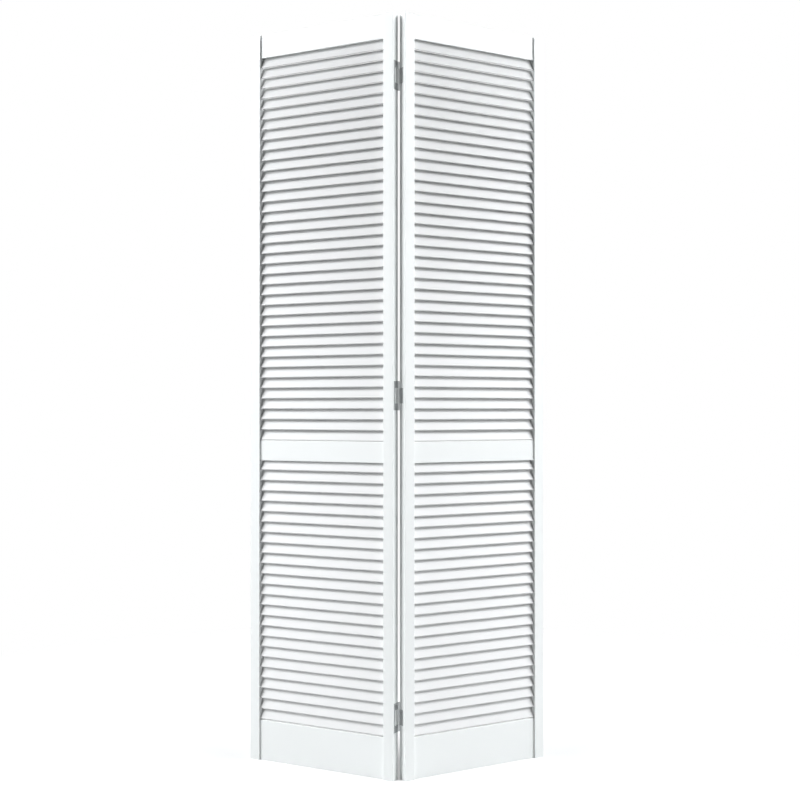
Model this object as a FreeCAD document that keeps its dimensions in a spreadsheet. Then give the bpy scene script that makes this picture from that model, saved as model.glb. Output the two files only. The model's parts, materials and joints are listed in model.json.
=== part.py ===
import FreeCAD, Part
import math
import os
import Sketcher

# A louvred bifold closet door: two panels that fold on three hinges.
#
# Every piece is drawn in the closed door's frame, whose origin is on the hinge pins' axis at
# the door's foot: X runs along the closed door, the front faces -Y and Z is up. Each panel is
# then turned about the pins by the fold angle, one panel each way.

doc = FreeCAD.newDocument("BifoldDoor")
sheet = doc.addObject("Spreadsheet::Sheet", "Sizes")

SIZES = [
    # the door as a whole
    ("door_height", 2000.25),
    ("panel_width", 448.2),
    ("panel_thickness", 27.0),
    ("closed_gap", 2.0),
    ("fold_angle", 29.3),
    # stiles: hollow extrusions, with a web between the core's chamber and the slats' chamber
    ("stile_width", 29.45),
    ("stile_wall", 2.0),
    ("stile_web", 1.6),
    ("core_chamber_width", 16.0),
    ("core_clearance", 0.3),
    ("edge_round", 1.2),
    ("inner_round", 0.8),
    # rails: thinner hollow extrusions, set back from the stiles' faces
    ("rail_recess", 4.8),
    ("rail_wall", 2.2),
    ("rail_round", 1.2),
    ("rail_opening_clearance", 0.15),
    ("top_rail_height", 63.8),
    ("middle_rail_height", 55.0),
    ("middle_rail_foot", 824.1),
    ("bottom_rail_height", 109.7),
    # slats
    ("slat_pitch", 28.575),
    ("slat_width", 34.3),
    ("slat_thickness", 4.8),
    ("slat_angle", 65.0),
    ("slat_wall", 1.2),
    ("upper_nose_gap", 0.9),
    ("lower_nose_gap", 2.4),
    ("slat_slot_clearance", 0.1),
    ("slat_end_clearance", 1.0),
    ("slat_relief_clearance", 1.0),
    # bores for the pivots and the track guide, in the ends of the outer stiles' cores
    ("pivot_bore_radius", 4.7625),
    ("pivot_bore_depth", 50.8),
    # hinges
    ("hinge_height", 76.2),
    ("hinge_end_distance", 162.0),
    ("leaf_thickness", 1.2),
    ("outer_leaf_width", 23.0),
    ("inner_leaf_width", 18.0),
    ("inner_leaf_height", 40.0),
    ("leaf_clearance", 0.3),
    ("barrel_clearance", 0.2),
    ("pin_radius", 1.35),
    ("pin_running_clearance", 0.05),
    ("pin_head_height", 1.1),
    ("pin_head_margin", 0.3),
    # hinge screws
    ("screw_inset", 11.0),
    ("inner_screw_spacing", 20.0),
    ("screw_shank_radius", 1.8),
    ("screw_length", 15.0),
    ("screw_point_length", 3.2),
    ("screw_point_radius", 0.3),
    ("screw_hole_clearance", 0.1),
    ("screw_hole_spare_depth", 0.5),
    ("screw_recess_width", 0.9),
    ("screw_recess_length", 3.8),
    ("screw_recess_depth", 0.9),
]

for row, (alias, value) in enumerate(SIZES, start=1):
    sheet.set(f"A{row}", alias)
    sheet.set(f"B{row}", str(value))
    sheet.setAlias(f"B{row}", alias)
doc.recompute()


def size(alias):
    """The value of one cell of the sheet, in millimetres or degrees."""
    return float(sheet.get(alias))


# ---- sizes that follow from the sheet, written as expressions -------------------------------

HALF_THICKNESS = "(Sizes.panel_thickness / 2)"
RAIL_THICKNESS = "(Sizes.panel_thickness - 2 * Sizes.rail_recess)"
# distance from a stile's edge face to the far side of its web, where the rails end
WEB_FACE = "(Sizes.stile_wall + Sizes.core_chamber_width + Sizes.stile_web)"
RAIL_LENGTH = f"(Sizes.panel_width - 2 * {WEB_FACE})"
SLAT_LENGTH = f"({RAIL_LENGTH} - 2 * Sizes.slat_end_clearance)"

# the two openings that the slats fill: the heights of their sills and heads above the door's
# foot, and the gap between the sill and the lowest slat's nose
UPPER_OPENING = (
    "(Sizes.middle_rail_foot + Sizes.middle_rail_height)",
    "(Sizes.door_height - Sizes.top_rail_height)",
    "Sizes.upper_nose_gap",
)
LOWER_OPENING = ("Sizes.bottom_rail_height", "Sizes.middle_rail_foot", "Sizes.lower_nose_gap")

# a slat's section: two round noses, whose centres lie SLAT_RUN apart front to back and
# SLAT_RISE apart in height
SLAT_RADIUS = "(Sizes.slat_thickness / 2)"
SLAT_RUN = "((Sizes.slat_width - Sizes.slat_thickness) * cos(Sizes.slat_angle * 1deg))"
SLAT_RISE = "((Sizes.slat_width - Sizes.slat_thickness) * sin(Sizes.slat_angle * 1deg))"

# hinges
BARREL_RADIUS = "(Sizes.pin_radius + Sizes.pin_running_clearance + Sizes.leaf_thickness)"
AXIS_OFFSET = f"({BARREL_RADIUS} + Sizes.barrel_clearance)"
WINDOW_HEIGHT = "(Sizes.inner_leaf_height + 2 * Sizes.leaf_clearance)"
OUTER_SCREW_SPACING = f"((Sizes.hinge_height + {WINDOW_HEIGHT}) / 2)"
SCREW_HEAD_RADIUS = "(Sizes.screw_shank_radius + Sizes.leaf_thickness)"
HINGE_HEIGHTS = {
    "top": "(Sizes.door_height - Sizes.hinge_end_distance)",
    "middle": "(Sizes.door_height / 2)",
    "bottom": "Sizes.hinge_end_distance",
}

# ---- the same few sizes as numbers, for placing the pieces ----------------------------------

barrel_radius = size("pin_radius") + size("pin_running_clearance") + size("leaf_thickness")
axis_offset = barrel_radius + size("barrel_clearance")
half_gap = size("closed_gap") / 2
mid_thickness = -(axis_offset + size("panel_thickness") / 2)
LEFT, RIGHT = -1, 1
OUTER_LEAF_SIDE = LEFT
hinge_heights = {
    "top": size("door_height") - size("hinge_end_distance"),
    "middle": size("door_height") / 2,
    "bottom": size("hinge_end_distance"),
}


def folded_axis_depth():
    """How far behind the folded door's middle the pins' axis lies.

    The front-most line is the rounded front corner at the hinges, and the rear-most one is the
    rounded back corner at the outer edge.
    """
    fold = math.radians(size("fold_angle"))
    rounding = size("edge_round")
    front_x = half_gap + rounding
    front_y = -(axis_offset + size("panel_thickness")) + rounding
    back_x = half_gap + size("panel_width") - rounding
    back_y = -axis_offset - rounding
    front = front_x * math.sin(fold) + front_y * math.cos(fold) - rounding
    back = back_x * math.sin(fold) + back_y * math.cos(fold) + rounding
    return -(front + back) / 2


pin_axis = FreeCAD.Vector(0, folded_axis_depth(), 0)


def placed(side, x, y, z, turn=0):
    """The placement of a piece that sits at x, y, z of the closed door and folds with a side."""
    upright = FreeCAD.Vector(0, 0, 1)
    fold = FreeCAD.Placement(pin_axis, FreeCAD.Rotation(upright, side * size("fold_angle")))
    place = FreeCAD.Placement(FreeCAD.Vector(x, y, z), FreeCAD.Rotation(upright, turn))
    return fold.multiply(place)


# ---- sketch helpers -------------------------------------------------------------------------


def new_body(label):
    body = doc.addObject("PartDesign::Body", label)
    body.Label = label
    body.AllowCompound = True
    return body


def new_sketch(body, name, role, offset=None):
    """A sketch on one of the body's own origin planes, moved along its normal by offset."""
    sketch = body.newObject("Sketcher::SketchObject", name)
    plane = [item for item in body.Origin.OriginFeatures if item.Role == role][0]
    sketch.AttachmentSupport = [(plane, "")]
    sketch.MapMode = "FlatFace"
    if offset:
        sketch.setExpression("AttachmentOffset.Base.z", offset)
    return sketch


def dimension(sketch, kind, first, second, expression):
    """A horizontal or vertical dimension from first to second, bound to an expression."""
    index = sketch.addConstraint(Sketcher.Constraint(kind, *first, *second, 1.0))
    sketch.setExpression(f"Constraints[{index}]", expression)


def fix_point(sketch, point, across, up):
    """Dimension a point from the sketch's origin; a leading minus sign puts it on the far side."""
    origin = (-1, 1)
    for kind, axis, expression in (("DistanceX", -2, across), ("DistanceY", -1, up)):
        if expression == "0":
            sketch.addConstraint(Sketcher.Constraint("PointOnObject", *point, axis))
        elif expression.startswith("-"):
            dimension(sketch, kind, point, origin, expression[1:])
        else:
            dimension(sketch, kind, origin, point, expression)


def draw_outline(sketch, corners):
    """A closed outline of straight lines through corners, each an (across, up) pair."""
    first = sketch.GeometryCount
    count = len(corners)
    for index in range(count):
        start = 2 * math.pi * index / count
        end = 2 * math.pi * (index + 1) / count
        sketch.addGeometry(
            Part.LineSegment(
                FreeCAD.Vector(math.cos(start), math.sin(start), 0),
                FreeCAD.Vector(math.cos(end), math.sin(end), 0),
            )
        )
    for index, (across, up) in enumerate(corners):
        before = first + (index - 1) % count
        sketch.addConstraint(Sketcher.Constraint("Coincident", before, 2, first + index, 1))
        fix_point(sketch, (first + index, 1), across, up)


def draw_rectangle(sketch, left, right, low, high):
    draw_outline(sketch, [(left, low), (right, low), (right, high), (left, high)])


def draw_slat_section(sketch, front, nose_height, clearance):
    """A slat's section, larger all round by clearance, or smaller where that is below 0.

    The front nose is on the -across side where front is -1, and on the other where it is 1.
    nose_height is the height of the front nose's centre.
    """
    first = sketch.GeometryCount
    angle = math.radians(size("slat_angle"))
    reach = size("slat_width") - size("slat_thickness")
    radius = size("slat_thickness") / 2
    nose = FreeCAD.Vector(front * reach * math.cos(angle) / 2, 0, 0)
    tail = FreeCAD.Vector(-nose.x, reach * math.sin(angle), 0)
    normal = FreeCAD.Vector(tail.y, nose.x - tail.x, 0).normalize() * radius
    up = FreeCAD.Vector(0, 0, 1)
    bearing = math.atan2(normal.y, normal.x)
    sketch.addGeometry(Part.LineSegment(nose + normal, tail + normal))
    circle = Part.Circle(tail, up, radius)
    sketch.addGeometry(Part.ArcOfCircle(circle, bearing, bearing + math.pi))
    sketch.addGeometry(Part.LineSegment(tail - normal, nose - normal))
    circle = Part.Circle(nose, up, radius)
    sketch.addGeometry(Part.ArcOfCircle(circle, bearing + math.pi, bearing + 2 * math.pi))
    flank, tail_arc, rear, nose_arc = range(first, first + 4)
    for one, other in (
        ((flank, 2), (tail_arc, 1)),
        ((tail_arc, 2), (rear, 1)),
        ((rear, 2), (nose_arc, 1)),
        ((nose_arc, 2), (flank, 1)),
    ):
        sketch.addConstraint(Sketcher.Constraint("Tangent", *one, *other))
    sketch.addConstraint(Sketcher.Constraint("Equal", tail_arc, nose_arc))
    index = sketch.addConstraint(Sketcher.Constraint("Radius", nose_arc, radius))
    sketch.setExpression(f"Constraints[{index}]", f"{SLAT_RADIUS} + ({clearance})")
    half_run = f"{SLAT_RUN} / 2"
    nose_side, tail_side = ("-", "") if front < 0 else ("", "-")
    fix_point(sketch, (nose_arc, 3), nose_side + half_run, nose_height)
    fix_point(sketch, (tail_arc, 3), tail_side + half_run, f"{nose_height} + {SLAT_RISE}")


# ---- feature helpers ------------------------------------------------------------------------


def pad(body, sketch, length, midplane=False):
    feature = body.newObject("PartDesign::Pad", "Pad")
    feature.Profile = sketch
    if midplane:
        feature.SideType = "Symmetric"
    feature.setExpression("Length", length)
    body.Tip = feature
    doc.recompute()
    return feature


def pocket(body, sketch, length, reverse=False):
    feature = body.newObject("PartDesign::Pocket", "Pocket")
    feature.Profile = sketch
    feature.Reversed = reverse
    feature.setExpression("Length", length)
    body.Tip = feature
    doc.recompute()
    return feature


def repeat_upward(body, feature, sketch, count, spacing):
    """Copies of a feature one above the other, along the sketch's vertical axis."""
    pattern = body.newObject("PartDesign::LinearPattern", "LinearPattern")
    pattern.Originals = [feature]
    pattern.Direction = (sketch, ["V_Axis"])
    pattern.setExpression("Occurrences", count)
    pattern.setExpression("Length", f"({count} - 1) * {spacing}")
    body.Tip = pattern
    doc.recompute()
    return pattern


def round_edges(body, edges, radius):
    base = body.Tip
    feature = body.newObject("PartDesign::Fillet", "Fillet")
    feature.Base = (base, edges)
    feature.setExpression("Radius", radius)
    body.Tip = feature
    doc.recompute()
    return feature


def edges_through(shape, direction, corners):
    """Names of the edges along a direction that pass through the given corner lines."""
    names = []
    for index, edge in enumerate(shape.Edges, start=1):
        along = (edge.lastVertex().Point - edge.firstVertex().Point).normalize()
        if abs(abs(along.dot(direction)) - 1) > 1e-6:
            continue
        for corner in corners:
            offset = edge.firstVertex().Point - corner
            across = offset - direction * offset.dot(direction)
            if across.Length < 1e-4:
                names.append(f"Edge{index}")
    return names


def primitive(kind, name, place, **sizes):
    """A Part primitive, with its sizes and its base point bound to expressions."""
    item = doc.addObject(f"Part::{kind}", name)
    for key, expression in sizes.items():
        item.setExpression(key, expression)
    for axis, expression in zip("xyz", place):
        item.setExpression(f"Placement.Base.{axis}", expression)
    return item


def turn_to_x(item):
    """Turn a cylinder or cone, made along Z, so that it points along +X."""
    item.Placement.Rotation = FreeCAD.Rotation(FreeCAD.Vector(0, 1, 0), 90)
    return item


def turn_to_minus_x(item):
    item.Placement.Rotation = FreeCAD.Rotation(FreeCAD.Vector(0, 1, 0), -90)
    return item


def fused(name, items):
    result = doc.addObject("Part::MultiFuse", name)
    result.Shapes = items
    return result


def cut_from(name, base, tools):
    result = doc.addObject("Part::Cut", name)
    result.Base = base
    result.Tool = tools[0] if len(tools) == 1 else fused(name + "_tools", tools)
    return result


pieces = []


def finish_piece(item, label, placement):
    item.Label = label
    item.Placement = placement
    pieces.append(item)


# ---- slats and their slots ------------------------------------------------------------------


def slat_count(opening):
    low, high, nose_gap = opening
    return f"floor(({high} - {low}) / Sizes.slat_pitch + 0.001)"


def lowest_nose(opening):
    """Height of the centre of the lowest slat slot's front nose.

    The slats are set out downward from the rail above them, one pitch each.
    """
    low, high, nose_gap = opening
    return f"({high} - {slat_count(opening)} * Sizes.slat_pitch + {nose_gap} + {SLAT_RADIUS})"


def make_slats(side, name, opening):
    """All the slats of one opening: hollow strips that rest in the bottoms of their slots."""
    body = new_body(name)
    sketch = new_sketch(body, "SlatSection", "YZ_Plane")
    height = f"({lowest_nose(opening)} - Sizes.slat_slot_clearance)"
    draw_slat_section(sketch, -1, height, "0")
    draw_slat_section(sketch, -1, height, "-Sizes.slat_wall")
    slat = pad(body, sketch, SLAT_LENGTH, midplane=True)
    repeat_upward(body, slat, sketch, slat_count(opening), "Sizes.slat_pitch")
    centre = side * (half_gap + size("panel_width") / 2)
    finish_piece(body, name, placed(side, centre, mid_thickness, 0))


# ---- stiles ---------------------------------------------------------------------------------


def make_stile(side, at_hinge):
    """A hollow upright: x is 0 at its edge face and grows towards the slats.

    A stile whose slats are on its -X side is turned half round, so its front is at +y.
    """
    panel = "left" if side < 0 else "right"
    name = f"{panel}_{'hinge' if at_hinge else 'outer'}_stile"
    slats_toward = side if at_hinge else -side
    front = -slats_toward

    body = new_body(name)
    section = new_sketch(body, "Section", "XY_Plane")
    half = HALF_THICKNESS
    draw_rectangle(section, "0", "Sizes.stile_width", f"-{half}", half)
    inside = f"({half} - Sizes.stile_wall)"
    core_end = "(Sizes.stile_wall + Sizes.core_chamber_width)"
    draw_rectangle(section, "Sizes.stile_wall", core_end, f"-{inside}", inside)
    slat_chamber_end = "(Sizes.stile_width - Sizes.stile_wall)"
    draw_rectangle(section, WEB_FACE, slat_chamber_end, f"-{inside}", inside)
    pad(body, section, "Sizes.door_height")

    upright = FreeCAD.Vector(0, 0, 1)
    half_depth = size("panel_thickness") / 2
    for x, radius in ((0, "Sizes.edge_round"), (size("stile_width"), "Sizes.inner_round")):
        corners = [FreeCAD.Vector(x, y, 0) for y in (-half_depth, half_depth)]
        round_edges(body, edges_through(body.Shape, upright, corners), radius)

    cut_depth = "(Sizes.stile_wall * 1.5)"
    half_opening = f"({RAIL_THICKNESS} / 2 + Sizes.rail_opening_clearance)"
    openings = new_sketch(body, "RailOpenings", "YZ_Plane", "Sizes.stile_width")
    gap = "Sizes.rail_opening_clearance"
    for low, high in (
        ("0", f"(Sizes.bottom_rail_height + {gap})"),
        (f"(Sizes.middle_rail_foot - {gap})", f"({UPPER_OPENING[0]} + {gap})"),
        (f"({UPPER_OPENING[1]} - {gap})", "Sizes.door_height"),
    ):
        draw_rectangle(openings, f"-{half_opening}", half_opening, low, high)
    pocket(body, openings, cut_depth)

    for opening in (UPPER_OPENING, LOWER_OPENING):
        slot_sketch = new_sketch(body, "SlatSlot", "YZ_Plane", "Sizes.stile_width")
        draw_slat_section(slot_sketch, front, lowest_nose(opening), "Sizes.slat_slot_clearance")
        slot = pocket(body, slot_sketch, cut_depth)
        repeat_upward(body, slot, slot_sketch, slat_count(opening), "Sizes.slat_pitch")

    if at_hinge:
        holes = new_sketch(body, "HingeScrewHoles", "YZ_Plane")
        column = f"({half} - Sizes.screw_inset)"
        column_side = "" if front < 0 else "-"
        radius = "(Sizes.screw_shank_radius + Sizes.screw_hole_clearance)"
        for height in HINGE_HEIGHTS.values():
            for direction in ("+", "-"):
                level = f"({height} {direction} {screw_spacing(side)} / 2)"
                draw_hole(holes, column_side + column, level, radius)
        pocket(body, holes, cut_depth, reverse=True)

    edge = half_gap if at_hinge else half_gap + size("panel_width")
    turn = 0 if slats_toward > 0 else 180
    finish_piece(body, name, placed(side, side * edge, mid_thickness, 0, turn))


def draw_hole(sketch, across, up, radius):
    hole = sketch.addGeometry(Part.Circle(FreeCAD.Vector(), FreeCAD.Vector(0, 0, 1), 1.0))
    fix_point(sketch, (hole, 3), across, up)
    index = sketch.addConstraint(Sketcher.Constraint("Radius", hole, 1.0))
    sketch.setExpression(f"Constraints[{index}]", radius)


def screw_spacing(side):
    """How far apart the two screws are that fasten a leaf to the panel on this side."""
    return OUTER_SCREW_SPACING if side == OUTER_LEAF_SIDE else "Sizes.inner_screw_spacing"


def make_stile_core(side, at_hinge):
    """The wooden core of a stile, which takes the hinge screws or the pivots.

    It lies against the stile's edge wall; x is 0 there and grows towards the web.
    """
    panel = "left" if side < 0 else "right"
    name = f"{panel}_{'hinge' if at_hinge else 'outer'}_stile_core"
    slats_toward = side if at_hinge else -side
    width = "(Sizes.core_chamber_width - Sizes.core_clearance)"
    depth = "(Sizes.panel_thickness - 2 * Sizes.stile_wall - 2 * Sizes.core_clearance)"
    batten = primitive(
        "Box",
        name + "_batten",
        ("Sizes.stile_wall", f"-{depth} / 2", "0"),
        Length=width,
        Width=depth,
        Height="Sizes.door_height",
    )
    holes = []
    if at_hinge:
        back = slats_toward
        column = f"{back} * ({HALF_THICKNESS} - Sizes.screw_inset)"
        reach = (
            "(Sizes.screw_length - Sizes.leaf_thickness - Sizes.stile_wall"
            " + Sizes.screw_hole_spare_depth)"
        )
        for level, height in HINGE_HEIGHTS.items():
            for direction in ("+", "-"):
                place = (
                    "Sizes.stile_wall",
                    column,
                    f"{height} {direction} {screw_spacing(side)} / 2",
                )
                hole = primitive(
                    "Cylinder",
                    f"{name}_{level}_hole",
                    place,
                    Radius="Sizes.screw_shank_radius",
                    Height=reach,
                )
                holes.append(turn_to_x(hole))
    else:
        for level in ("0", "Sizes.door_height - Sizes.pivot_bore_depth"):
            place = (f"Sizes.stile_wall + {width} / 2", "0", level)
            bore = primitive(
                "Cylinder",
                name + "_bore",
                place,
                Radius="Sizes.pivot_bore_radius",
                Height="Sizes.pivot_bore_depth",
            )
            holes.append(bore)
    core = cut_from(name, batten, holes)
    edge = half_gap if at_hinge else half_gap + size("panel_width")
    turn = 0 if slats_toward > 0 else 180
    finish_piece(core, name, placed(side, side * edge, mid_thickness, 0, turn))


# ---- rails ----------------------------------------------------------------------------------


def slat_overlap(nose_gap):
    """How far the first slat under a rail reaches up behind the rail's front lip."""
    reach = f"{SLAT_RISE} + Sizes.slat_thickness + {nose_gap}"
    return f"max({reach} - Sizes.slat_pitch; 0)"


def make_rail(side, level, height, foot, opening_below=None):
    """A hollow rail; over slats, its front wall hangs below its floor, in front of their top."""
    panel = "left" if side < 0 else "right"
    name = f"{panel}_{level}_rail"
    body = new_body(name)
    half = f"({RAIL_THICKNESS} / 2)"
    inside = f"({half} - Sizes.rail_wall)"
    sketch = new_sketch(body, "Section", "YZ_Plane")
    half_depth = size("panel_thickness") / 2 - size("rail_recess")
    if opening_below:
        relief = f"({slat_overlap(opening_below[2])} + Sizes.slat_relief_clearance)"
        corners = [(f"-{half}", "0"), (f"-{inside}", "0"), (f"-{inside}", relief)]
        corners += [(half, relief), (half, height), (f"-{half}", height)]
        draw_outline(sketch, corners)
        floor = f"({relief} + Sizes.rail_wall)"
        draw_rectangle(sketch, f"-{inside}", inside, floor, f"({height} - Sizes.rail_wall)")
        lower_corners = [FreeCAD.Vector(0, -half_depth, 0)]
    else:
        draw_rectangle(sketch, f"-{half}", half, "0", height)
        draw_rectangle(
            sketch, f"-{inside}", inside, "Sizes.rail_wall", f"({height} - Sizes.rail_wall)"
        )
        lower_corners = [FreeCAD.Vector(0, y, 0) for y in (-half_depth, half_depth)]
    pad(body, sketch, RAIL_LENGTH, midplane=True)
    top = body.Shape.BoundBox.ZMax
    corners = lower_corners + [FreeCAD.Vector(0, y, top) for y in (-half_depth, half_depth)]
    edges = edges_through(body.Shape, FreeCAD.Vector(1, 0, 0), corners)
    round_edges(body, edges, "Sizes.rail_round")
    centre = side * (half_gap + size("panel_width") / 2)
    finish_piece(body, name, placed(side, centre, mid_thickness, foot))


# ---- hinges ---------------------------------------------------------------------------------


def leaf_face(side, depth):
    """X of a point in a leaf, depth behind its outward face on the panel's edge."""
    return f"{side} * (Sizes.closed_gap / 2 - {depth})"


def make_leaf(side, level):
    """One leaf: a flat sheet on the panel's edge face, rolled into knuckles round the pin.

    The outer leaf has a window that the inner leaf closes into. The inner leaf has one
    knuckle, between the outer leaf's two.
    """
    outer = side == OUTER_LEAF_SIDE
    kind = "outer" if outer else "inner"
    name = f"{level}_hinge_{kind}_leaf"
    height = "Sizes.hinge_height" if outer else "Sizes.inner_leaf_height"
    width = f"Sizes.{kind}_leaf_width"
    start_x = leaf_face(side, "Sizes.leaf_thickness" if side == RIGHT else "0")
    sheet_end = "(Sizes.pin_radius + Sizes.pin_running_clearance + Sizes.leaf_thickness / 4)"
    sheet_metal = primitive(
        "Box",
        name + "_sheet",
        (start_x, f"-({AXIS_OFFSET} + {width})", f"-{height} / 2"),
        Length="Sizes.leaf_thickness",
        Width=f"{AXIS_OFFSET} + {width} - {sheet_end}",
        Height=height,
    )
    knuckle = primitive(
        "Cylinder",
        name + "_knuckle",
        ("0", "0", f"-{height} / 2"),
        Radius=BARREL_RADIUS,
        Height=height,
    )
    blank = fused(name + "_blank", [sheet_metal, knuckle])
    pin_clearance = "0" if outer else "Sizes.pin_running_clearance"
    bore = primitive(
        "Cylinder",
        name + "_bore",
        ("0", "0", f"-{height}"),
        Radius=f"Sizes.pin_radius + {pin_clearance}",
        Height=f"2 * {height}",
    )
    cuts = [bore]
    if outer:
        window_reach = f"({AXIS_OFFSET} + Sizes.inner_leaf_width + Sizes.leaf_clearance)"
        window = primitive(
            "Box",
            name + "_window",
            (f"-2 * {BARREL_RADIUS}", f"-{window_reach}", f"-{WINDOW_HEIGHT} / 2"),
            Length=f"4 * {BARREL_RADIUS}",
            Width=f"{window_reach} + 2 * {BARREL_RADIUS}",
            Height=WINDOW_HEIGHT,
        )
        cuts.append(window)
    for direction in ("+", "-"):
        sink = primitive(
            "Cone",
            name + "_screw_hole",
            screw_place(side, direction),
            Radius1=SCREW_HEAD_RADIUS,
            Radius2="Sizes.screw_shank_radius",
            Height="Sizes.leaf_thickness",
        )
        cuts.append(turn_to_x(sink) if side == RIGHT else turn_to_minus_x(sink))
    leaf = cut_from(name, blank, cuts)
    finish_piece(leaf, name, placed(side, 0, 0, hinge_heights[level]))


def screw_place(side, direction):
    """Where a screw's head lies flush with its leaf, in the hinge's own frame."""
    return (
        leaf_face(side, "Sizes.leaf_thickness"),
        f"-({AXIS_OFFSET} + Sizes.screw_inset)",
        f"{direction} {screw_spacing(side)} / 2",
    )


def make_screw(side, name, direction):
    """A countersunk screw with a cross recess, pointing into the panel."""
    turn = turn_to_x if side == RIGHT else turn_to_minus_x
    x, y, z = screw_place(side, direction)
    head = primitive(
        "Cone",
        name + "_head",
        (x, y, z),
        Radius1=SCREW_HEAD_RADIUS,
        Radius2="Sizes.screw_shank_radius",
        Height="Sizes.leaf_thickness",
    )
    shank_length = "(Sizes.screw_length - Sizes.leaf_thickness - Sizes.screw_point_length)"
    shank = primitive(
        "Cylinder",
        name + "_shank",
        (leaf_face(side, "0"), y, z),
        Radius="Sizes.screw_shank_radius",
        Height=shank_length,
    )
    point = primitive(
        "Cone",
        name + "_point",
        (f"{side} * (Sizes.closed_gap / 2 + {shank_length})", y, z),
        Radius1="Sizes.screw_shank_radius",
        Radius2="Sizes.screw_point_radius",
        Height="Sizes.screw_point_length",
    )
    solid = fused(name + "_solid", [turn(head), turn(shank), turn(point)])
    recess_x = x if side == RIGHT else f"{x} - Sizes.screw_recess_depth"
    slots = []
    for width, height in (
        ("Sizes.screw_recess_width", "Sizes.screw_recess_length"),
        ("Sizes.screw_recess_length", "Sizes.screw_recess_width"),
    ):
        slot = primitive(
            "Box",
            name + "_recess",
            (recess_x, f"{y} - {width} / 2", f"{z} - {height} / 2"),
            Length="Sizes.screw_recess_depth",
            Width=width,
            Height=height,
        )
        slots.append(slot)
    return cut_from(name, solid, slots)


def make_leaf_screws(side, level):
    kind = "outer" if side == OUTER_LEAF_SIDE else "inner"
    name = f"{level}_hinge_{kind}_leaf_screws"
    group = doc.addObject("Part::Compound", name)
    group.Links = [
        make_screw(side, f"{name}_{place}", direction)
        for place, direction in (("upper", "+"), ("lower", "-"))
    ]
    finish_piece(group, name, placed(side, 0, 0, hinge_heights[level]))


def make_pin(level):
    """The hinge pin, with a round head on the top knuckle; it is fast in the outer leaf."""
    name = f"{level}_hinge_pin"
    rod = primitive(
        "Cylinder",
        name + "_rod",
        ("0", "0", "-Sizes.hinge_height / 2"),
        Radius="Sizes.pin_radius",
        Height="Sizes.hinge_height",
    )
    head = primitive(
        "Cone",
        name + "_head",
        ("0", "0", "Sizes.hinge_height / 2"),
        Radius1=f"{BARREL_RADIUS} - Sizes.pin_head_margin",
        Radius2="Sizes.pin_radius",
        Height="Sizes.pin_head_height",
    )
    pin = fused(name, [rod, head])
    finish_piece(pin, name, placed(OUTER_LEAF_SIDE, 0, 0, hinge_heights[level]))


# ---- the door -------------------------------------------------------------------------------

for panel_side, panel_name in ((LEFT, "left"), (RIGHT, "right")):
    for beside_hinge in (True, False):
        make_stile(panel_side, beside_hinge)
        make_stile_core(panel_side, beside_hinge)
    top_foot = size("door_height") - size("top_rail_height")
    make_rail(panel_side, "top", "Sizes.top_rail_height", top_foot, UPPER_OPENING)
    middle_foot = size("middle_rail_foot")
    make_rail(panel_side, "middle", "Sizes.middle_rail_height", middle_foot, LOWER_OPENING)
    make_rail(panel_side, "bottom", "Sizes.bottom_rail_height", 0)
    make_slats(panel_side, f"{panel_name}_upper_slats", UPPER_OPENING)
    make_slats(panel_side, f"{panel_name}_lower_slats", LOWER_OPENING)

for hinge_level in HINGE_HEIGHTS:
    make_pin(hinge_level)
    for leaf_side in (LEFT, RIGHT):
        make_leaf(leaf_side, hinge_level)
        make_leaf_screws(leaf_side, hinge_level)

doc.recompute()

for item in doc.Objects:
    if "Invalid" in item.State or "Error" in item.State:
        raise RuntimeError(f"{item.Label} failed: {item.State}")

os.makedirs("parts", exist_ok=True)
for piece in pieces:
    if piece.Shape.isNull() or not piece.Shape.isValid():
        raise RuntimeError(f"{piece.Label} has no valid shape")
    piece.Shape.exportStep(f"parts/{piece.Label}.step")
    print(piece.Label, len(piece.Shape.Solids), round(piece.Shape.Volume, 1))
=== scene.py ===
import json
import math

import bpy
from mathutils import Matrix, Vector


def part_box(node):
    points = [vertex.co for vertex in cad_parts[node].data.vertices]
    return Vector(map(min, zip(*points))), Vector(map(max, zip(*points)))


# The bifold door's finishes, its stage, the lamps and the camera. The door's shapes are all the
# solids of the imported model. Lengths are in metres, unless a comment says otherwise.

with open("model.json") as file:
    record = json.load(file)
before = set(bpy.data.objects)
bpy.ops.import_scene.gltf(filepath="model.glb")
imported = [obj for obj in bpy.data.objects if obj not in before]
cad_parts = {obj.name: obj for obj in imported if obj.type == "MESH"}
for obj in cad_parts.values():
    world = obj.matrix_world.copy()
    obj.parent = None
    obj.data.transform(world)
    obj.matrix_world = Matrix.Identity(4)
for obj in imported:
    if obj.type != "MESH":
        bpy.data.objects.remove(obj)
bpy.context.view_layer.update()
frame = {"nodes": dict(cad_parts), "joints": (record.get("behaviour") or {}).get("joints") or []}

fold = next(joint for joint in frame["joints"] if joint["name"] == "panel_fold")
hinge_line = Vector(fold["pos_m"])
# at rest, the right panel stands this far round the hinge line from the closed doorway, and the
# left panel as far the other way
fold_angle = math.radians(-fold["range_deg"][0] / 2)

SIDES = ((-1, "left"), (1, "right"))
UNTURNED = (0.0, 0.0, 0.0)
# lays a pattern's X along an upright piece
UPRIGHT = (0.0, math.pi / 2, 0.0)

FRAME_WHITE = (0.905, 0.926, 0.918)
# the slats are the frame's white plastic, painted darker here as painted shade that offsets the
# stronger light their up-tilted faces catch
SLAT_SHADED_WHITE = (0.715, 0.719, 0.717)
# how far the white drifts either way in its soft patches
WHITE_DRIFT = 0.985
PLASTIC_IOR = 1.5
STILE_ROUGHNESS = 0.36
RAIL_ROUGHNESS = 0.38
SLAT_ROUGHNESS = 0.42

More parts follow.
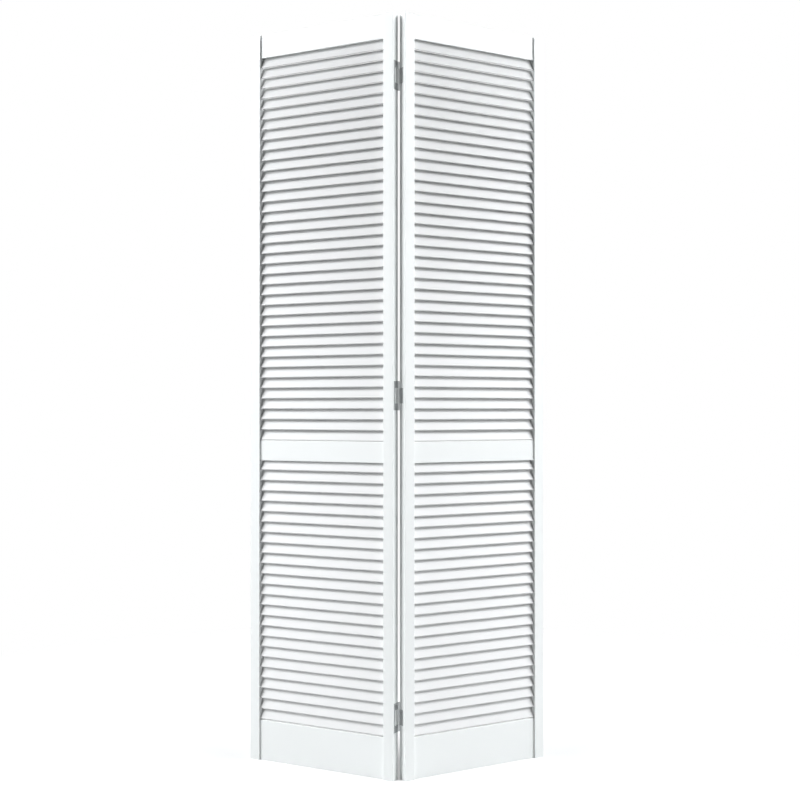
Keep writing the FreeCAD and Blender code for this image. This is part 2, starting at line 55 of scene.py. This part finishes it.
# roughness, then the plating's two tints
LEAF_STEEL = (0.34, (0.50, 0.515, 0.52), (0.60, 0.615, 0.62))
PIN_STEEL = (0.26, (0.46, 0.475, 0.48), (0.55, 0.565, 0.57))
SCREW_STEEL = (0.3, (0.52, 0.52, 0.53), (0.62, 0.62, 0.63))

EARLY_WOOD = (0.74, 0.57, 0.37)
LATE_WOOD = (0.50, 0.31, 0.15)
WOOD_ROUGHNESS = 0.75
# from a batten's middle to the pith that its rings run round
PITH_OFFSET = Vector((0.021, 0.034, 0.0))

# the patterns' scales in cycles per metre, along X, Y and Z where there are three
DIE_LINES = (0.8, 260.0, 260.0)
PLASTIC_SKIN = 900.0
SHEEN_PATCHES = 5.0
METAL_STREAKS = (2600.0, 2600.0, 90.0)
PLATING_CLOUDS = 120.0
RING_BENDS = (30.0, 30.0, 2.0)
WOOD_FIBRES = (1400.0, 1400.0, 40.0)
NOISE_MEAN = 0.5

# what one unit of a pattern's height stands for
MILLIMETRE = 0.001
FIBRE_RELIEF = 0.0003

# ---- shader groups ---------------------------------------------------------------------------


def new_group(name, inputs, outputs):
    """A shader group with named sockets: inputs have a name, socket kind and default."""
    group = bpy.data.node_groups.new(name, "ShaderNodeTree")
    for label, kind, default in inputs:
        item = group.interface.new_socket(label, in_out="INPUT", socket_type=kind)
        if default is not None:
            item.default_value = default
    for label in outputs:
        group.interface.new_socket(label, in_out="OUTPUT", socket_type="NodeSocketFloat")
    given = group.nodes.new("NodeGroupInput")
    result = group.nodes.new("NodeGroupOutput")
    return group, given, result


def add(tree, kind, links, settings=None, **sockets):
    """A node with its settings and plain socket values, linked from other nodes' outputs."""
    node = tree.nodes.new(kind)
    for key, value in (settings or {}).items():
        setattr(node, key, value)
    for key, value in sockets.items():
        node.inputs[key.replace("_", " ")].default_value = value
    for key, output in links.items():
        tree.links.new(output, node.inputs[key])
    return node


def worked_out(tree, operation, one, other=None):
    """The result of a math operation on an output and, if it takes two, another or a number."""
    node = add(tree, "ShaderNodeMath", {0: one}, {"operation": operation})
    if isinstance(other, (int, float)):
        node.inputs[1].default_value = other
    elif other is not None:
        tree.links.new(other, node.inputs[1])
    return node.outputs[0]


def noise(tree, vector, scale, detail=2.0, roughness=0.5):
    node = add(
        tree,
        "ShaderNodeTexNoise",
        {"Vector": vector},
        Scale=scale,
        Detail=detail,
        Roughness=roughness,
    )
    return node.outputs["Fac"]


def stretched(tree, vector, factors):
    node = add(tree, "ShaderNodeVectorMath", {0: vector}, {"operation": "MULTIPLY"})
    node.inputs[1].default_value = factors
    return node.outputs[0]


def length_of(tree, vector):
    node = add(tree, "ShaderNodeVectorMath", {0: vector}, {"operation": "LENGTH"})
    return node.outputs["Value"]


def extruded_plastic_group():
    """Drawn plastic: faint die lines along local X, a fine skin, and soft patches of sheen.

    The height is in millimetres of relief.
    """
    group, given, result = new_group(
        "extruded_plastic",
        [
            ("Vector", "NodeSocketVector", None),
            ("Line Depth", "NodeSocketFloat", 0.01),
            ("Skin Depth", "NodeSocketFloat", 0.004),
            ("Base Roughness", "NodeSocketFloat", 0.4),
            ("Patch Strength", "NodeSocketFloat", 0.06),
        ],
        ["Height", "Roughness", "Tone"],
    )
    vector = given.outputs["Vector"]
    lines = noise(group, stretched(group, vector, DIE_LINES), 1.0, 3.0, 0.6)
    skin = noise(group, vector, PLASTIC_SKIN)
    patches = noise(group, vector, SHEEN_PATCHES, 3.0, 0.55)
    line_height = worked_out(group, "MULTIPLY", lines, given.outputs["Line Depth"])
    skin_height = worked_out(group, "MULTIPLY", skin, given.outputs["Skin Depth"])
    height = worked_out(group, "ADD", line_height, skin_height)
    line_share = 0.5
    uneven = worked_out(
        group, "ADD", patches, worked_out(group, "MULTIPLY", lines, line_share)
    )
    centred = worked_out(group, "SUBTRACT", uneven, NOISE_MEAN * (1.0 + line_share))
    sheen = worked_out(group, "MULTIPLY", centred, given.outputs["Patch Strength"])
    roughness = worked_out(group, "ADD", sheen, given.outputs["Base Roughness"])
    group.links.new(height, result.inputs["Height"])
    group.links.new(roughness, result.inputs["Roughness"])
    group.links.new(patches, result.inputs["Tone"])
    return group


def brushed_metal_group():
    """Rolled and plated sheet: short streaks along local Z and a cloudy plating.

    The height is in millimetres of relief.
    """
    group, given, result = new_group(
        "brushed_metal",
        [
            ("Vector", "NodeSocketVector", None),
            ("Streak Depth", "NodeSocketFloat", 0.004),
            ("Base Roughness", "NodeSocketFloat", 0.3),
        ],
        ["Height", "Roughness", "Tone"],
    )
    vector = given.outputs["Vector"]
    streaks = noise(group, stretched(group, vector, METAL_STREAKS), 1.0, 3.0, 0.6)
    clouds = noise(group, vector, PLATING_CLOUDS, 3.0, 0.55)
    height = worked_out(group, "MULTIPLY", streaks, given.outputs["Streak Depth"])
    streak_share, cloud_share = 0.18, 0.12
    uneven = worked_out(
        group,
        "ADD",
        worked_out(group, "MULTIPLY", streaks, streak_share),
        worked_out(group, "MULTIPLY", clouds, cloud_share),
    )
    centred = worked_out(group, "SUBTRACT", uneven, NOISE_MEAN * (streak_share + cloud_share))
    roughness = worked_out(group, "ADD", centred, given.outputs["Base Roughness"])
    group.links.new(height, result.inputs["Height"])
    group.links.new(roughness, result.inputs["Roughness"])
    group.links.new(clouds, result.inputs["Tone"])
    return group


def softwood_group():
    """Sawn softwood: rings round a pith beside the batten, seen as grain along Z on its sides.

    Rings are equal steps of distance from the pith, bent by noise; each turns from pale early
    wood to darker late wood.
    """
    group, given, result = new_group(
        "softwood",
        [("Vector", "NodeSocketVector", None), ("Ring Spacing", "NodeSocketFloat", 0.0025)],
        ["Late Wood", "Fibre"],
    )
    vector = given.outputs["Vector"]
    bend = noise(group, stretched(group, vector, RING_BENDS), 1.0)
    bend_width = 0.006
    late_narrowness = 3.0
    from_pith = length_of(group, stretched(group, vector, (1.0, 1.0, 0.0)))
    bent = worked_out(
        group, "ADD", from_pith, worked_out(group, "MULTIPLY", bend, bend_width)
    )
    steps = worked_out(group, "DIVIDE", bent, given.outputs["Ring Spacing"])
    ring = worked_out(group, "FRACT", steps)
    late = worked_out(group, "POWER", ring, late_narrowness)
    fibre = noise(group, stretched(group, vector, WOOD_FIBRES), 1.0, 2.0, 0.6)
    group.links.new(late, result.inputs["Late Wood"])
    group.links.new(fibre, result.inputs["Fibre"])
    return group


extruded_plastic = extruded_plastic_group()
brushed_metal = brushed_metal_group()
softwood = softwood_group()

# ---- materials -------------------------------------------------------------------------------


def new_material(name):
    material = bpy.data.materials.new(name)
    material.use_nodes = True
    tree = material.node_tree
    return material, tree, tree.nodes["Principled BSDF"]


def local_coordinates(tree, turn=UNTURNED, centre=(0.0, 0.0, 0.0)):
    """Object coordinates about a centre, turned by Euler angles to lie along the piece."""
    place = add(tree, "ShaderNodeTexCoord", {}).outputs["Object"]
    node = add(tree, "ShaderNodeMapping", {"Vector": place}, {"vector_type": "TEXTURE"})
    node.inputs["Location"].default_value = centre
    node.inputs["Rotation"].default_value = turn
    return node.outputs["Vector"]


def use_group(tree, group, vector, **values):
    return add(
        tree, "ShaderNodeGroup", {"Vector": vector}, {"node_tree": group}, **values
    ).outputs


def colour_between(tree, factor, low, high):
    node = add(tree, "ShaderNodeMix", {"Factor": factor}, {"data_type": "RGBA"})
    node.inputs["A"].default_value = (*low, 1.0)
    node.inputs["B"].default_value = (*high, 1.0)
    return node.outputs["Result"]


def bumped(tree, height, distance):
    """The normal of a surface whose height of 1 stands for a distance."""
    node = add(tree, "ShaderNodeBump", {"Height": height}, Strength=1.0, Distance=distance)
    return node.outputs["Normal"]


def worked_surface(name, group, turn, roughness, low, high):
    """A material whose tint, roughness and relief come from a group's Tone, Roughness, Height."""
    material, tree, shader = new_material(name)
    skin = use_group(tree, group, local_coordinates(tree, turn), Base_Roughness=roughness)
    tree.links.new(colour_between(tree, skin["Tone"], low, high), shader.inputs["Base Color"])
    tree.links.new(skin["Roughness"], shader.inputs["Roughness"])
    tree.links.new(bumped(tree, skin["Height"], MILLIMETRE), shader.inputs["Normal"])
    return material, shader


def white_plastic(name, turn, roughness, white):
    low = [channel * WHITE_DRIFT for channel in white]
    high = [channel / WHITE_DRIFT for channel in white]
    material, shader = worked_surface(name, extruded_plastic, turn, roughness, low, high)
    shader.inputs["IOR"].default_value = PLASTIC_IOR
    return material


def plated_steel(name, roughness, low, high):
    material, shader = worked_surface(name, brushed_metal, UNTURNED, roughness, low, high)
    shader.inputs["Metallic"].default_value = 1.0
    return material


def sawn_wood(name, pith, turn):
    material, tree, shader = new_material(name)
    grain = use_group(tree, softwood, local_coordinates(tree, turn, pith))
    fibre_share = 0.35
    tone = worked_out(
        tree,
        "ADD",
        grain["Late Wood"],
        worked_out(tree, "MULTIPLY", grain["Fibre"], fibre_share),
    )
    tint = colour_between(tree, tone, EARLY_WOOD, LATE_WOOD)
    tree.links.new(tint, shader.inputs["Base Color"])
    tree.links.new(bumped(tree, grain["Fibre"], FIBRE_RELIEF), shader.inputs["Normal"])
    shader.inputs["Roughness"].default_value = WOOD_ROUGHNESS
    return material


def finish_node(node, material):
    """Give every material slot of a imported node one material."""
    for slot in frame["nodes"][node].material_slots:
        slot.material = material


stile_white = white_plastic("stile_white_plastic", UPRIGHT, STILE_ROUGHNESS, FRAME_WHITE)

for side, panel in SIDES:
    turn = (0.0, 0.0, side * fold_angle)
    rail_white = white_plastic(
        f"{panel}_rail_white_plastic", turn, RAIL_ROUGHNESS, FRAME_WHITE
    )
    # the slats' material carries painted shade: the frame's white, set darker against the light
    # their tilted faces catch
    slat_shaded_white = white_plastic(
        f"{panel}_slat_white_plastic", turn, SLAT_ROUGHNESS, SLAT_SHADED_WHITE
    )
    for level in ("top", "middle", "bottom"):
        finish_node(f"{panel}_{level}_rail", rail_white)
    for level in ("upper", "lower"):
        finish_node(f"{panel}_{level}_slats", slat_shaded_white)
    for place in ("hinge", "outer"):
        finish_node(f"{panel}_{place}_stile", stile_white)
        low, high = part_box(f"{panel}_{place}_stile_core")
        pith = (low + high) / 2 + PITH_OFFSET
        wood = sawn_wood(f"{panel}_{place}_core_softwood", (pith.x, pith.y, 0.0), turn)
        finish_node(f"{panel}_{place}_stile_core", wood)

leaf_steel = plated_steel("plated_leaf_steel", *LEAF_STEEL)
pin_steel = plated_steel("plated_pin_steel", *PIN_STEEL)
screw_steel = plated_steel("plated_screw_steel", *SCREW_STEEL)

for level in ("top", "middle", "bottom"):
    finish_node(f"{level}_hinge_pin", pin_steel)
    for leaf in ("inner", "outer"):
        finish_node(f"{level}_hinge_{leaf}_leaf", leaf_steel)
        finish_node(f"{level}_hinge_{leaf}_leaf_screws", screw_steel)

# ---- stage -----------------------------------------------------------------------------------

# the sky that lights the door where it isn't seen
SKY_COLOUR = (0.94, 0.97, 1.0, 1.0)
SKY_STRENGTH = 0.02

# the floor as it is seen: paint that glows a little, and fades to white between two distances
# from the middle of the door
FLOOR_HALF_WIDTH = 14.0
FLOOR_PAINT = (0.8, 0.8, 0.8, 1.0)
FLOOR_ROUGHNESS = 0.9
FLOOR_SPECULAR = 0.1
FLOOR_GLOW = 0.3
FLOOR_FADE = (0.9, 2.2)

# the floor as it lights the door: how far out it throws light back, how softly that ends, and
# what it throws back within and beyond
FLOOR_REACH = 1.9
FLOOR_REACH_EDGE = 0.4
FLOOR_BOUNCE = (0.5, 0.5, 0.5, 1.0)
FLOOR_BEYOND = (0.02, 0.02, 0.02, 1.0)


def ramp(tree, value, start, end):
    """0 up to the start, 1 from the end, and a straight line between them."""
    node = add(tree, "ShaderNodeMapRange", {"Value": value})
    node.inputs["From Min"].default_value = start
    node.inputs["From Max"].default_value = end
    return node


def mixed(tree, factor, one, other):
    links = {0: factor, 1: one.outputs[0], 2: other.outputs[0]}
    return add(tree, "ShaderNodeMixShader", links)


def seen_directly(tree):
    """1 for rays that show a thing to the camera, straight, in a mirror or through glass."""
    rays = add(tree, "ShaderNodeLightPath", {})
    either = worked_out(
        tree, "ADD", rays.outputs["Is Camera Ray"], rays.outputs["Is Glossy Ray"]
    )
    return worked_out(tree, "ADD", either, rays.outputs["Is Transmission Ray"])


def make_floor():
    """A pale floor that fades to plain white away from the door, so no horizon shows."""
    mesh = bpy.data.meshes.new("floor")
    half = FLOOR_HALF_WIDTH
    corners = [(-half, -half, 0.0), (half, -half, 0.0), (half, half, 0.0), (-half, half, 0.0)]
    mesh.from_pydata(corners, [], [(0, 1, 2, 3)])
    floor = bpy.data.objects.new("floor", mesh)
    bpy.context.collection.objects.link(floor)

    material, tree, shader = new_material("pale_floor")
    mesh.materials.append(material)
    distance = length_of(tree, add(tree, "ShaderNodeTexCoord", {}).outputs["Object"])

    shader.inputs["Base Color"].default_value = FLOOR_PAINT
    shader.inputs["Roughness"].default_value = FLOOR_ROUGHNESS
    shader.inputs["Specular IOR Level"].default_value = FLOOR_SPECULAR
    glow = add(tree, "ShaderNodeEmission", {}, Strength=FLOOR_GLOW)
    lit = add(tree, "ShaderNodeAddShader", {0: shader.outputs[0], 1: glow.outputs[0]})
    white = add(tree, "ShaderNodeEmission", {}, Strength=1.0)
    fade = ramp(tree, distance, *FLOOR_FADE)
    fade.interpolation_type = "SMOOTHSTEP"
    seen = mixed(tree, fade.outputs[0], lit, white)

    bounce = add(tree, "ShaderNodeBsdfDiffuse", {}, Color=FLOOR_BOUNCE)
    beyond = add(tree, "ShaderNodeBsdfDiffuse", {}, Color=FLOOR_BEYOND)
    reach_start, reach_end = FLOOR_REACH - FLOOR_REACH_EDGE, FLOOR_REACH + FLOOR_REACH_EDGE
    reach = ramp(tree, distance, reach_start, reach_end)
    unseen = mixed(tree, reach.outputs[0], bounce, beyond)

    both = mixed(tree, seen_directly(tree), unseen, seen)
    tree.links.new(both.outputs[0], tree.nodes["Material Output"].inputs["Surface"])


def make_world():
    """White where it is seen, and a weaker cool sky that fills the shadows."""
    world = bpy.data.worlds.new("studio")
    bpy.context.scene.world = world
    world.use_nodes = True
    tree = world.node_tree
    sky = tree.nodes["Background"]
    sky.inputs["Color"].default_value = SKY_COLOUR
    sky.inputs["Strength"].default_value = SKY_STRENGTH
    white = add(tree, "ShaderNodeBackground", {}, Color=(1.0, 1.0, 1.0, 1.0), Strength=1.0)
    both = mixed(tree, seen_directly(tree), sky, white)
    tree.links.new(both.outputs[0], tree.nodes["World Output"].inputs["Surface"])


# ---- lamps -----------------------------------------------------------------------------------

# bearing from straight ahead (degrees), height, distance from the door's upright middle line,
# width, tallness and power (watts); one of each stands on either side
PAIRED_LAMPS = {
    "strip": (61.0, 1.3, 5.0, 0.6, 2.5, 64.0),
    "softbox": (80.0, 3.3, 5.0, 3.2, 2.8, 123.0),
    "high_softbox": (77.0, 4.6, 5.0, 3.6, 2.6, 248.0),
}
BACK_LAMP = (180.0, 0.6, 4.0, 3.0, 2.0, 38.0)
LAMP_COLOUR = (0.97, 0.985, 1.0)
# the middle of the door, which every lamp points at
LAMP_AIM = Vector((0.0, 0.0, 1.0))


def make_lamp(name, bearing, height, distance, width, tallness, power):
    """A soft rectangular lamp at a bearing from straight ahead, right being positive."""
    lamp = bpy.data.lights.new(name, "AREA")
    lamp.shape = "RECTANGLE"
    lamp.size = width
    lamp.size_y = tallness
    lamp.energy = power
    lamp.color = LAMP_COLOUR
    item = bpy.data.objects.new(name, lamp)
    bpy.context.collection.objects.link(item)
    turn = math.radians(bearing)
    item.location = (distance * math.sin(turn), -distance * math.cos(turn), height)
    item.rotation_euler = (LAMP_AIM - item.location).to_track_quat("-Z", "Y").to_euler()


make_floor()
make_world()
for kind, (bearing, *setting) in PAIRED_LAMPS.items():
    for side, label in SIDES:
        make_lamp(f"{label}_{kind}", side * bearing, *setting)
make_lamp("back_softbox", *BACK_LAMP)

# ---- camera ----------------------------------------------------------------------------------

# lens and sensor in millimetres, turn and tilt in degrees; the camera stands at its distance in
# front of the hinge line and a little to its right, and is then swung round that line by the turn
CAMERA_LENS = 54.65
CAMERA_SENSOR = 36.0
CAMERA_DISTANCE = 3.1804
CAMERA_ASIDE = 0.00308
CAMERA_HEIGHT = 0.9609
CAMERA_TURN = -1.249
CAMERA_TILT = 0.509
CAMERA_SIGHT = 100.0


def make_camera():
    """A camera near the height of the door's middle, facing the hinge line nearly square on."""
    camera = bpy.data.cameras.new("camera")
    camera.sensor_width = CAMERA_SENSOR
    camera.lens = CAMERA_LENS
    camera.clip_end = CAMERA_SIGHT
    item = bpy.data.objects.new("camera", camera)
    bpy.context.collection.objects.link(item)
    turn = math.radians(CAMERA_TURN)
    tilt = math.radians(CAMERA_TILT)
    stand = Matrix.Rotation(turn, 3, "Z") @ Vector((CAMERA_ASIDE, -CAMERA_DISTANCE, 0.0))
    item.location = (hinge_line.x + stand.x, hinge_line.y + stand.y, CAMERA_HEIGHT)
    item.rotation_euler = (math.pi / 2 + tilt, 0.0, turn)
    bpy.context.scene.camera = item


make_camera()
bpy.context.scene.view_settings.view_transform = "Standard"
